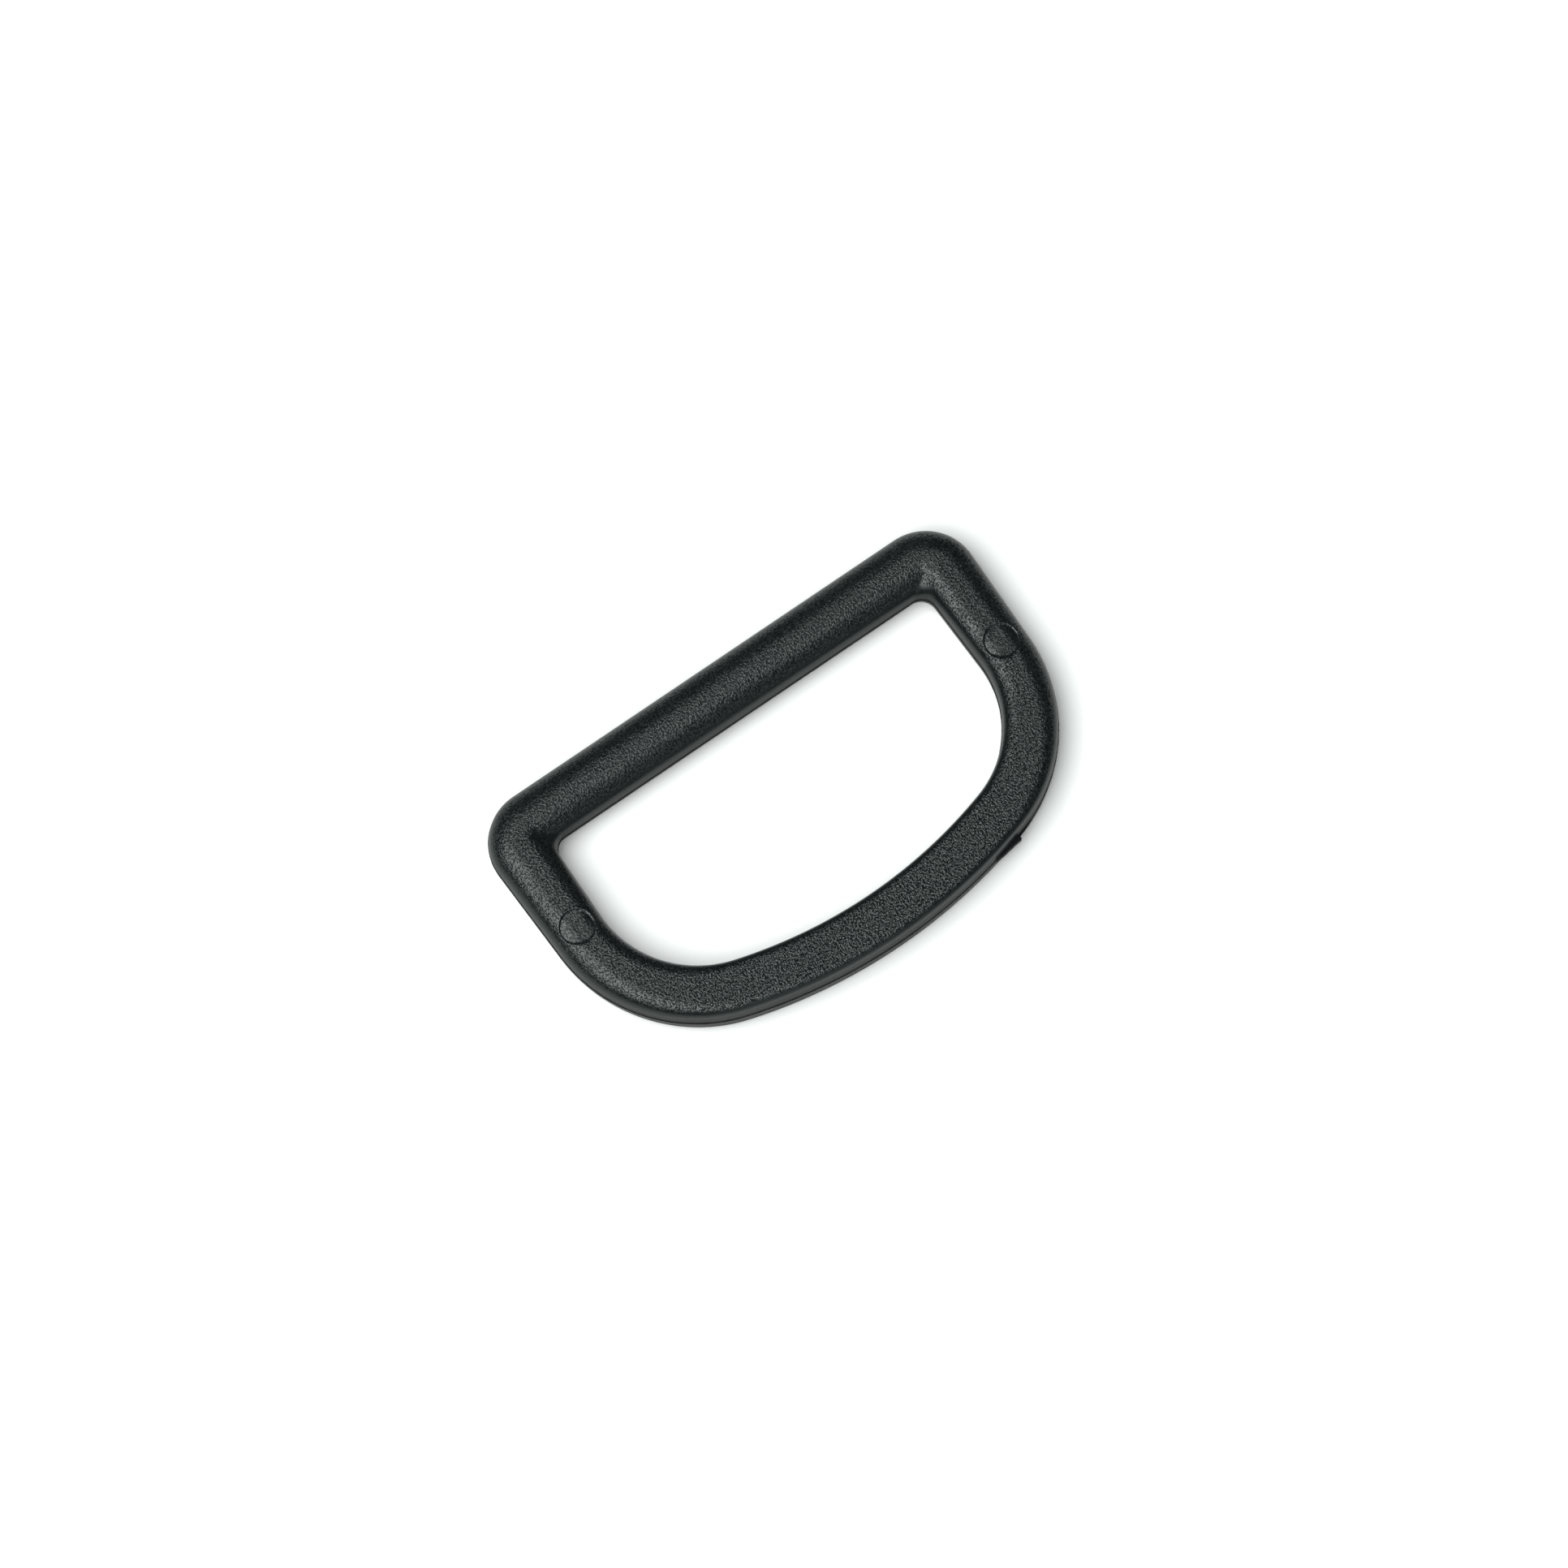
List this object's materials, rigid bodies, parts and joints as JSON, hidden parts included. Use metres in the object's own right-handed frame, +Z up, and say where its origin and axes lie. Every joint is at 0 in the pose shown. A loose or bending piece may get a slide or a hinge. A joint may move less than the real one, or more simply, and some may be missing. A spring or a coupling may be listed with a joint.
{
  "type": "d-ring",
  "caption": "Moulded D-ring: a straight rounded bar for webbing, two short legs and a flatter curved bow round one D-shaped opening.",
  "frame": {"origin": "on the surface that the ring lies on, under the middle of the ring's box", "axes": "+X along the straight bar, +Y from the curved bow to the bar, +Z up through the ring's thickness"},
  "size_m": [0.0486, 0.029, 0.0046],
  "materials": {
    "black_acetal": "black moulded acetal with a fine leathery spark-eroded grain on the tops and smoother, satin sides"
  },
  "bodies": {
    "root": {"d_ring": "black_acetal"}
  },
  "joints": []
}
